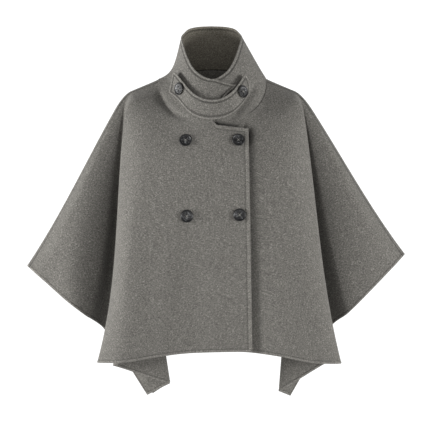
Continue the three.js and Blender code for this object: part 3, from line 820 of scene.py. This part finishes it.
def lap_lift(count, own, shares):
    """How far the upper front's free edge stands off the lower one, most of all halfway down."""
    beyond = np.clip((np.arange(count) - own + 1) / (count - own), 0, 1)
    bow = np.sin(math.pi * np.minimum(1, shares + LAP_LIFT["above"]))
    ends = LAP_LIFT["at_ends"]
    return LAP_LIFT["height"] * beyond[:, None] ** 3 * (ends + (1 - ends) * bow)


def front_grid(side, edge, upper):
    """A front's points, and how many of its columns lie on its own side of the centre."""
    u = stations(side * front.last, 0)
    v = front.rows(u)
    columns = np.repeat(u[:, None], v.shape[1], axis=1)
    seam = np.abs(seam_stations(v[0], side))
    base = DRAWN_IN["station"] - DRAWN_IN["higher"] * (1 - smooth(v[0], 0, DRAWN_IN["until"]))
    drawn = base + (np.abs(columns) - base) * (seam - base) / (front.last - base)
    columns = np.where(np.abs(columns) > base, side * drawn, columns)
    grid = np.concatenate([front.point(columns, v), lap_columns(-side, edge)])
    station = np.concatenate([np.abs(u), np.zeros(len(grid) - len(u))])
    lapped = 1 - smooth(station, LAP["fade_from"], LAP["fade_to"])
    top = from_edge(grid, 1, True)
    moved = upper * LAP["step"] / 2 * lapped[:, None] + soft_folds(grid, station)
    moved = moved + (lap_lift(len(grid), len(u), v[-1]) if upper > 0 else -sunk(grid, top))
    grid = grid + facing(grid, (0, -1, 0)) * moved[..., None]
    grid[: len(u)] += seam_pull(front.neck.at(u + front.last)[:, 0], top[: len(u)], SEAM_DENT["body"])
    return grid, len(u)


def front_cloth(name, node, side, edge, upper):
    """A front with its lap past the centre. Upper is 1 for the one on top and -1 for the other."""
    grid, own = front_grid(side, edge, upper)
    top = from_edge(grid, 1, True)
    free = np.minimum(from_edge(grid, 1, False) / NARROW, from_edge(grid, 0, False))
    free[own:] = np.minimum(free, top)[own:]
    pinched = from_edge(grid, 0, True)
    # How far each point is from where painted shade falls: the seams, the neck seam's a little less.
    shade_distance = pinched.copy()
    shade_distance[:own] = np.minimum(pinched, top + NECK_FADE)[:own]
    if upper < 0:
        # The lower front gets painted shadow in the gap under the upper front's top edge.
        shade_distance = np.minimum(shade_distance, crease_shadow(grid))
    last_column, last_row = len(grid) - 1 - STITCH_STEP, grid.shape[1] - 1 - STITCH_STEP
    picks = (np.s_[: last_column + 1, last_row], np.s_[last_column, STITCH_STEP: last_row + 1],
             np.s_[own: last_column + 1, STITCH_STEP])
    return sewn_cloth(name, node, grid, (0, -1, 0), free, (pinched, shade_distance), (WOOL, WOOL), picks)


def round_the_side(side, shares):
    """The back's cloth where it turns forward round a side, from the outline to the overarm seam."""
    outline = side * front.last
    reach = (seam_stations(shares, side) - outline) * (1 - WRAP_SHORT / SEAM_FORWARD)
    u = outline + reach * WRAP_STEPS[:, None]
    return front.point(u, np.broadcast_to(shares, u.shape))


def back_grid():
    """The back's points. Its sides are softened where they turn forward, and follow the seam's pull."""
    u = stations(-back.last, back.last)
    v = back.rows(u)
    own = back.point(np.repeat(u[:, None], v.shape[1], axis=1), v)
    grid = np.concatenate([round_the_side(-1, v[0])[::-1], own, round_the_side(1, v[-1])])
    first = len(WRAP_STEPS)
    last = first + len(u) - 1
    for _ in range(3):
        for turn in (first, last):
            near = slice(turn - 3, turn + 4)
            around = (grid[turn - 4: turn + 3] + grid[turn - 2: turn + 5]) / 2
            grid[near] = (grid[near] + around) / 2
    top = from_edge(grid, 1, True)
    middle = slice(first, last + 1)
    grid[middle] += seam_pull(back.neck.at(u + back.last)[:, 0], top[middle], SEAM_DENT["body"])
    for turn, beyond in ((first, slice(0, first)), (last, slice(last + 1, None))):
        moved = grid[turn, 0] - own[turn - first, 0]
        grid[beyond] += moved * np.exp(-((top[beyond] / SEAM_DENT["body"]) ** 2))[..., None]
    return grid


def back_cloth(name, node):
    grid = back_grid()
    hem = from_edge(grid, 1, False) / NARROW
    pinched = np.minimum(from_edge(grid, 0, True), from_edge(grid, 0, False))
    # How far each point is from where painted seam shade falls.
    shade_distance = np.minimum(pinched, from_edge(grid, 1, True) + NECK_FADE)
    picks = [np.s_[:, grid.shape[1] - 1 - STITCH_STEP]]
    return sewn_cloth(name, node, grid, (0, 1, 0), hem, (pinched, shade_distance), (WOOL, WOOL), picks)


def seam_share(angle):
    """Where the collar starts: below the seam by its allowance, which is sewn into the body."""
    tiny = 1e-3
    rise = lengths(collar_point(angle, np.full_like(angle, tiny)) - neck_edge(-angle))
    return -tiny * SEAM_IN / rise


def tab_z(angle, across):
    """Height of the tab at an angle round the collar, across from its lower edge."""
    along = (TAB["start"] - angle) / (TAB["start"] - TAB["end"])
    width = TAB["left_width"] + (TAB["right_width"] - TAB["left_width"]) * along
    rise = np.where(angle > 0, TAB["left_rise"], TAB["right_rise"]) * np.sin(np.radians(angle)) ** 2
    return TAB["low"] + rise + (across - 0.5) * width


def close_at_ends(ends, count):
    """Shares from 0 to 1, as close together at both ends as an edge's steps."""
    return np.concatenate([ends, np.linspace(ends[-1], 1 - ends[-1], count)[1:-1], 1 - ends[::-1]])


COLLAR_COLUMNS = 210
COLLAR_ROWS = 34
COLLAR_LENGTH = 700
COLLAR_HEIGHT = 106
COLLAR_FEET = np.array([0, 0.4, 1.0, 2.0, 3.5])


def collar_grid():
    """The collar's points. It laps over itself in front, its start outside and its end inside."""
    along = close_at_ends(EDGE_STEPS * NARROW / COLLAR_LENGTH, COLLAR_COLUMNS)
    feet = COLLAR_FEET / COLLAR_HEIGHT
    tops = 1 - EDGE_STEPS[::-1] * NARROW / COLLAR_HEIGHT
    rows = np.concatenate([feet, np.linspace(feet[-1], tops[0], COLLAR_ROWS)[1:-1], tops])
    start = seam_share(360 * along)[:, None]
    height = start + (1 - start) * rows
    lap = COLLAR_LAP["angle"] * np.maximum(height, 0) ** COLLAR_LAP["slant"]
    angle = -lap + (360 + 2 * lap) * along[:, None]
    beyond = np.maximum(np.maximum(-angle, angle - 360), 0) / COLLAR_LAP["angle"]
    share = height * (1 - COLLAR_LAP["drop"] * smooth(beyond, 0, COLLAR_LAP["drop_over"]))
    low, high = COLLAR_LAP["fade"]
    crossed = smooth(along, low, high) + smooth(along, 1 - high, 1 - low)
    out = collar_facing(angle, share)
    grid = collar_point(angle, share) + out * (COLLAR_LAP["step"] / 2 * (1 - crossed))[:, None, None]
    foot = np.maximum(from_edge(grid, 1, True) - SEAM_IN, 0)
    around = wrapped(np.mod(angle, 360))
    above = grid[..., 2] - tab_z(around, 0)
    below = np.exp(-(((above + TAB_SHADE["below"]) / TAB_SHADE["width"]) ** 2))
    shade = TAB_SHADE["depth"] * between(-around, *TAB_SHADE["angles"]) * below
    lift = smooth(-angle, *COLLAR_LIFT["angles"]) * smooth(above, *COLLAR_LIFT["above_tab"])
    grid = grid + out * (COLLAR_LIFT["height"] * lift - shade)[..., None]
    return grid + seam_pull(-angle[:, 0], foot, SEAM_DENT["collar"])


def collar_cloth(name, node):
    grid = collar_grid()
    free = np.minimum.reduce([from_edge(grid, 1, False), from_edge(grid, 0, True), from_edge(grid, 0, False)])
    # The neck seam pinches the collar and paints shade along it, INNER_SHADE on its inside.
    sewn = from_edge(grid, 1, True) + NECK_FADE
    rim_row, end = grid.shape[1] - 1 - STITCH_STEP, STITCH_STEP
    picks = np.s_[end: -end, rim_row], np.s_[end, : rim_row + 1], np.s_[-end - 1, : rim_row + 1]
    materials = NARROW_WOOL, WOOL_INSIDE
    return sewn_cloth(name, node, grid, (0, 1, 0), free, (sewn, sewn), materials, picks, NARROW)


def tab_point(along, across):
    """The throat tab's surface: along from its left end, and across from its lower edge."""
    angle = TAB["start"] + (TAB["end"] - TAB["start"]) * along
    foot, rim = neck_edge(-angle)[..., 2], rim_z(angle)
    share = np.maximum((tab_z(angle, across) - foot) / (rim - foot), TAB_EDGE["foot"])
    end = COLLAR_LAP["angle"]
    over_end = 1 - smooth(-angle, end - TAB_STEP["before"], end + TAB_STEP["after"])
    rest = COLLAR_LAP["step"] * (over_end - 0.5) + CLOTH + SEAM_GAP
    stands_off = TAB_EDGE["middle"] + (TAB_EDGE["ends"] - TAB_EDGE["middle"]) * (2 * along - 1) ** 2
    return collar_point(angle, share) + collar_facing(angle, share) * (rest + across * stands_off)[..., None]


def tab_facing(along, across):
    near = np.clip(along, 0.01, 0.99)
    around = tab_point(near + 0.01, across) - tab_point(near - 0.01, across)
    up = tab_point(near, across + 0.05) - tab_point(near, across - 0.05)
    return unit(np.cross(around, up))


TAB_COLUMNS = 90
TAB_ROWS = 14
TAB_LENGTH = 245
TAB_WIDTH = 47


def tab_cloth(name, node):
    even = close_at_ends(EDGE_STEPS * NARROW / TAB_LENGTH, TAB_COLUMNS)
    across = close_at_ends(EDGE_STEPS * NARROW / TAB_WIDTH, TAB_ROWS)
    even, across = np.meshgrid(even, across, indexing="ij")
    inset = TAB_END["inset"] * (1 - np.sqrt(1 - TAB_END["squareness"] * (2 * across - 1) ** 2))
    grid = tab_point(inset + (1 - 2 * inset) * even, across)
    free = np.minimum.reduce([from_edge(grid, axis, start) for axis in (0, 1) for start in (True, False)])
    unsewn = np.full_like(free, UNSEWN)
    near, (last_column, last_row) = STITCH_STEP, np.array(free.shape) - 1 - STITCH_STEP
    picks = (np.s_[near: last_column + 1, near], np.s_[near: last_column + 1, last_row],
             np.s_[near, near: last_row + 1], np.s_[last_column, near: last_row + 1])
    materials = NARROW_WOOL, NARROW_WOOL
    return sewn_cloth(name, node, grid, (0, -1, 0), free, (unsewn, unsewn), materials, picks, NARROW, (1,))


# A button's section from the middle of its back round its rim to the middle of its face.
BUTTON_PROFILE = [(0, 0.5), (8, 0.4), (12, 0.7), (14, 1.5), (14.8, 2.3), (15, 2.9), (14.8, 3.5),
                  (14.3, 4.0), (13.6, 4.2), (12.9, 4.1), (12.3, 3.7), (11.7, 3.2), (11.0, 2.95), (9, 2.85),
                  (5, 2.8), (0, 2.8)]
BUTTON_SIDES = 72
RIM_FROM = 11.2
HOLES = {"spread": 3.0, "radius": 1.25, "drill": 20}
CROSS = {"height": 3.0, "over": 0.3, "apart": 0.5, "length": 8.7, "width": 0.6, "thick": 0.9}
SHANK = {"foot": 2.6, "top": 2.2, "length": 2, "middle": -0.3}


def button_mesh():
    """A four-hole button with a raised rim, its back on z = 0, in metres."""
    bm = bmesh.new()
    verts = [bm.verts.new((x * MM, 0, z * MM)) for x, z in BUTTON_PROFILE]
    edges = [bm.edges.new(pair) for pair in zip(verts, verts[1:])]
    bmesh.ops.spin(bm, geom=verts + edges, axis=(0, 0, 1), cent=(0, 0, 0), angle=math.tau, steps=BUTTON_SIDES,
                   use_merge=True)
    bmesh.ops.remove_doubles(bm, verts=bm.verts, dist=0.01 * MM)
    bmesh.ops.recalc_face_normals(bm, faces=bm.faces)
    disc = piece_from(bm, "button blank", HORN)
    drills = bmesh.new()
    spread, radius = HOLES["spread"] * MM, HOLES["radius"] * MM
    for place in ((x * spread, y * spread, 0) for x in (-1, 1) for y in (-1, 1)):
        bmesh.ops.create_cone(drills, cap_ends=True, segments=20, radius1=radius, radius2=radius,
                              depth=HOLES["drill"] * MM, matrix=Matrix.Translation(place))
    drill = piece_from(drills, "drill", HORN)
    cut = disc.modifiers.new("holes", "BOOLEAN")
    cut.operation, cut.object, cut.solver = "DIFFERENCE", drill, "EXACT"
    bpy.context.view_layer.update()
    mesh = bpy.data.meshes.new_from_object(disc.evaluated_get(bpy.context.evaluated_depsgraph_get()))
    for used in (disc, drill):
        bpy.data.objects.remove(used)
    mesh.materials.append(HORN_RIM)
    for face in mesh.polygons:
        if face.center.xy.length > RIM_FROM * MM:
            face.material_index = len(mesh.materials) - 1
    return mesh


def button_thread(name, place):
    """Two crossed bands of three strands over a button's holes, and the shank behind it."""
    bm = bmesh.new()
    strands = []
    for diagonal in (1, -1):
        along = unit(np.array((1.0, diagonal, 0)))
        side = np.array((-along[1], along[0], 0))
        height = CROSS["height"] + CROSS["over"] * (diagonal > 0)
        for k in (-1, 0, 1):
            middle = side * CROSS["apart"] * k + np.array((0, 0, height))
            strands.append(stitch(middle, along, UP, CROSS["length"], CROSS["width"], CROSS["thick"]))
    add_stitches(bm, strands)
    foot, top, length = SHANK["foot"] * MM, SHANK["top"] * MM, SHANK["length"] * MM
    bmesh.ops.create_cone(bm, cap_ends=True, segments=12, radius1=foot, radius2=top, depth=length,
                          matrix=Matrix.Translation((0, 0, SHANK["middle"] * MM)))
    bmesh.ops.transform(bm, matrix=place, verts=bm.verts)
    belong(piece_from(bm, name, BUTTON_THREAD))


def sewn_button(name, node, blank, place):
    """A button sewn on with crossed thread. Place turns its own frame to where it sits."""
    mesh = blank.copy()
    mesh.name = name
    mesh.transform(place)
    belong(put(name, mesh), node)
    button_thread(name.replace("button", "button_thread"), place)


def frame_at(point, normal, along=(1.0, 0, 0)):
    """The frame of something that sits on the cloth: its z is the normal."""
    x = unit(np.array(along) - normal * (np.array(along) @ normal))
    y = np.cross(normal, x)
    turned = Matrix((x, y, normal)).transposed().to_4x4()
    return Matrix.Translation(Vector(point * MM)) @ turned


FRONT_BUTTONS = {"upper_right": (-63, -163), "upper_left": (59, -162), "lower_right": (-60, -339),
                 "lower_left": (62, -336)}
TAB_BUTTONS = {"tab_right": (0.145, 0.5), "tab_left": (0.885, 0.5)}
BUTTON_REST = 0.9
BUTTONHOLE = {"length": 31, "width": 1.3, "reach": 2.3, "thread": 0.85, "thick": 0.7, "height": 0.1,
              "pitch": 0.8, "round_ends": 7}


def front_place(x, z):
    """The point and the facing of the front at the given x and z."""
    guess = math.copysign(1, x), 0.3
    u, v = on_front(*[np.array([float(value)]) for value in (x, z, *guess)])
    across = (front.point(u + 0.2, v) - front.point(u - 0.2, v))[0]
    down = (front.point(u, v + 0.03) - front.point(u, v - 0.03))[0]
    return front.point(u, v)[0], -unit(np.cross(across, down))


def buttonhole(name, point, normal):
    """Close stitches round a buttonhole, from the button towards the centre. No slit is cut: the stitches'
    near-black thread is painted shade for it.
    """
    half = BUTTONHOLE["length"] / 2
    pairs = int(BUTTONHOLE["length"] / BUTTONHOLE["pitch"])
    count = BUTTONHOLE["round_ends"]
    round_ends = [math.pi * (k - count // 2) / count for k in range(count)]
    rays = [((2 * k / pairs - 1) * half, 0, side) for k in range(pairs + 1) for side in (-1, 1)]
    rays += [(end * half, end * math.cos(turn), math.sin(turn)) for end in (-1, 1) for turn in round_ends]
    size = BUTTONHOLE["reach"], BUTTONHOLE["thread"], BUTTONHOLE["thick"]
    places = []
    for x, out_x, out_y in rays:
        out = np.array((out_x, out_y, 0.0))
        foot = np.array((x, 0, BUTTONHOLE["height"])) + out * BUTTONHOLE["width"]
        places.append(stitch(foot, out, UP, *size))
    bm = bmesh.new()
    add_stitches(bm, places)
    bmesh.ops.transform(bm, matrix=frame_at(point, normal), verts=bm.verts)
    belong(piece_from(bm, name, SLIT_SHADE_THREAD))


def sew_buttons():
    blank = button_mesh()
    for name, (x, z) in FRONT_BUTTONS.items():
        point, normal = front_place(x, z)
        face = LAP["step"] / 2 + CLOTH / 2
        node = "button_" + name
        sewn_button(name + "_button", node, blank, frame_at(point + normal * (face + BUTTON_REST), normal))
        if x > 0:
            hole = point + normal * face - np.array((BUTTONHOLE["length"] / 2, 0, 0))
            buttonhole(name + "_buttonhole", hole, normal)
    for name, (along, across) in TAB_BUTTONS.items():
        along, across = np.array([along]), np.array([across])
        point, normal = tab_point(along, across)[0], tab_facing(along, across)[0]
        run = (tab_point(along + 0.02, across) - tab_point(along - 0.02, across))[0]
        place = frame_at(point + normal * (CLOTH / 2 + BUTTON_REST), normal, run)
        sewn_button(name + "_button", "button_" + name, blank, place)


right_front, right_stitching = front_cloth("right_front_cloth", "front_right", -1, FRONT_EDGE, 1)
left_front, left_stitching = front_cloth("left_front_cloth", "front_left", 1, UNDER_EDGE, -1)
back_piece, back_stitching = back_cloth("back_cloth", "back")
collar, collar_stitching = collar_cloth("collar_cloth", "collar")
tab, tab_stitching = tab_cloth("tab_cloth", "throat_tab")
sew_buttons()


# The floor and the lights are in metres and watts: where each light is, its width and its power.
FLOOR = {"radius": 3.6, "height": -1.35}
WALL = {"half_angle": 9, "soft": 4, "ceiling": 0.24, "strength": 1.18}
LIGHTS = {"key": ((-3.1, -0.7, -0.15), 1.0, 118), "fill": ((2.95, -1.35, -0.3), 1.0, 78)}
LIT = Vector((0, 0, -0.3))
CAMERA = {"lens": 139.5, "sensor": 36, "at": (5, -4000, -336)}


def stage():
    bm = bmesh.new()
    bmesh.ops.create_circle(bm, cap_ends=True, segments=96, radius=FLOOR["radius"])
    paper = Finish("pale floor", {"Roughness": 0.9})
    grain = paper.noise(paper.place(), 40, 2, 0.5)
    paper.show(Base_Color=paper.mix(grain, rgba(0.82, 0.82, 0.82), rgba(0.86, 0.86, 0.86)))
    floor = piece_from(bm, "floor", paper.material)
    floor.location = (0, 0, FLOOR["height"])


def lights():
    for name, (at, size, power) in LIGHTS.items():
        light = bpy.data.lights.new(name, "AREA")
        light.shape, light.size, light.energy = "DISK", size, power
        lamp = put(name, light)
        lamp.location = at
        lamp.rotation_euler = (LIT - Vector(at)).to_track_quat("-Z", "Y").to_euler()
    bpy.context.scene.world = studio_walls()
    bpy.context.scene.view_settings.view_transform = "Standard"


def studio_walls():
    """A pale wall all round at the height of the cape, and a dim ceiling."""
    world = bpy.data.worlds.new("studio")
    studio = NodeTree(world)
    way = studio.node("ShaderNodeTexCoord", {}, {}, output="Generated")
    height = studio.node("ShaderNodeSeparateXYZ", {}, {0: way}, output="Z")
    height = studio.node("ShaderNodeMath", {"operation": "ABSOLUTE"}, {0: height})
    angles = WALL["half_angle"], WALL["half_angle"] + WALL["soft"]
    shares = [(math.sin(math.radians(angle)), tone) for angle, tone in zip(angles, (1, WALL["ceiling"]))]
    background = studio.nodes["Background"]
    studio.join(background.inputs["Color"], studio.ramp(greys(*shares), height))
    background.inputs["Strength"].default_value = WALL["strength"]
    return world


def photograph():
    camera = bpy.data.cameras.new("camera")
    camera.lens, camera.sensor_width = CAMERA["lens"], CAMERA["sensor"]
    camera.clip_end = 50
    viewer = put("camera", camera)
    viewer.location = Vector(CAMERA["at"]) * MM
    viewer.rotation_euler = (math.pi / 2, 0, 0)
    bpy.context.scene.camera = viewer


stage()
lights()
photograph()
